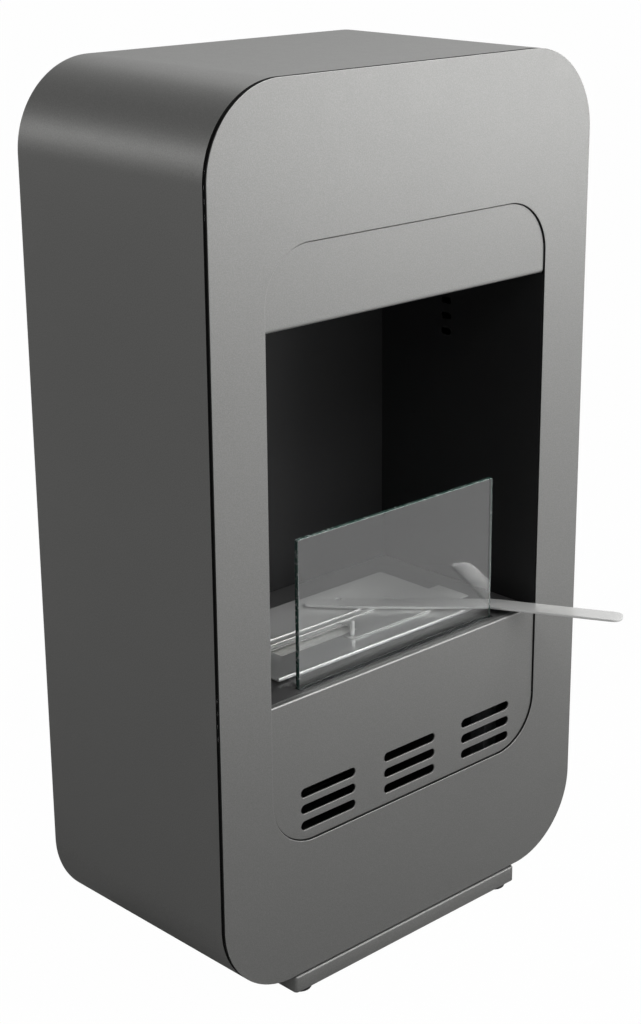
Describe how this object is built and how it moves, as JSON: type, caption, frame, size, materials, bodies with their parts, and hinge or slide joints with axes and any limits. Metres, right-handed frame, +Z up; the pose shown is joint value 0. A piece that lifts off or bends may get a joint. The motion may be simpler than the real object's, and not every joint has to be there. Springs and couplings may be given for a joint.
{
  "type": "freestanding bioethanol fireplace",
  "caption": "Tall rounded sheet-metal bioethanol fireplace on a low plinth: inset panels, open firebox, glass pane, burner with sliding lid and lid tool.",
  "frame": {"origin": "centre of the overall box, on the floor: x 0 is the cabinet's middle, z 0 is the floor, and y 0 is half way between the tool handle's end and the cabinet's rear edge", "axes": "+X to the right when facing the fireplace from the front, +Y towards the back, +Z up; the front faces -Y"},
  "size_m": [0.52, 0.378, 0.93],
  "materials": {
    "graphite": "satin metallic powder coat, fine grain",
    "shell_graphite": "satin metallic powder coat, fine grain",
    "dark_steel": "satin heat-proof paint",
    "matt_black": "matt heat-proof paint",
    "polished_steel": "bright brushed stainless steel",
    "zinc": "zinc plated",
    "ceramic_fibre": "white ceramic fibre",
    "clear_glass": "clear toughened glass, ground edges",
    "rubber": "matt"
  },
  "bodies": {
    "cabinet": {"back_panel": "shell_graphite", "back_screw_1": "zinc", "back_screw_2": "zinc", "back_screw_3": "zinc", "back_screw_4": "zinc", "back_screw_5": "zinc", "back_screw_6": "zinc", "back_screw_7": "zinc", "back_screw_8": "zinc", "cabinet_shell": "shell_graphite", "firebox_back": "matt_black", "firebox_ceiling": "matt_black", "firebox_wall_left": "matt_black", "firebox_wall_right": "matt_black", "foot_front_left": "rubber", "foot_front_right": "rubber", "foot_nut_front_left": "zinc", "foot_nut_front_right": "zinc", "foot_nut_rear_left": "zinc", "foot_nut_rear_right": "zinc", "foot_rear_left": "rubber", "foot_rear_right": "rubber", "foot_spacer_front_left": "matt_black", "foot_spacer_front_right": "matt_black", "foot_spacer_rear_left": "matt_black", "foot_spacer_rear_right": "matt_black", "front_plate": "graphite", "glass_channel": "zinc", "hearth_plate": "dark_steel", "hearth_post_front_left": "zinc", "hearth_post_front_right": "zinc", "hearth_post_rear_left": "zinc", "hearth_post_rear_right": "zinc", "lower_panel": "graphite", "lower_panel_rail_left": "matt_black", "lower_panel_rail_right": "matt_black", "plinth": "graphite", "rear_stay_lower": "zinc", "rear_stay_upper": "zinc", "reveal_ring": "matt_black", "upper_panel": "graphite", "upper_panel_rail_left": "matt_black", "upper_panel_rail_right": "matt_black"},
    "burner": {"burner_tray": "zinc", "fuel_tank": "polished_steel", "ceramic_fibre": "ceramic_fibre", "burner_top": "polished_steel", "guide_strip": "polished_steel", "guide_rivet_left": "zinc", "guide_rivet_right": "zinc"},
    "lid": {"burner_lid": "polished_steel", "lid_pin": "polished_steel"},
    "tool": {"lid_tool": "polished_steel"},
    "glass": {"glass_pane": "clear_glass"}
  },
  "joints": [
    {"name": "burner_lift", "type": "slide", "parent": "cabinet", "child": "burner", "axis": [0, 0, 1], "range_m": [0, 0.12]},
    {"name": "lid_slide", "type": "slide", "parent": "burner", "child": "lid", "axis": [1, 0, 0], "range_m": [-0.11, 0.03]},
    {"name": "tool_lift", "type": "slide", "parent": "burner", "child": "tool", "axis": [0, 0, 1], "range_m": [0, 0.1]},
    {"name": "glass_lift", "type": "slide", "parent": "cabinet", "child": "glass", "axis": [0, 0, 1], "range_m": [0, 0.15]}
  ]
}
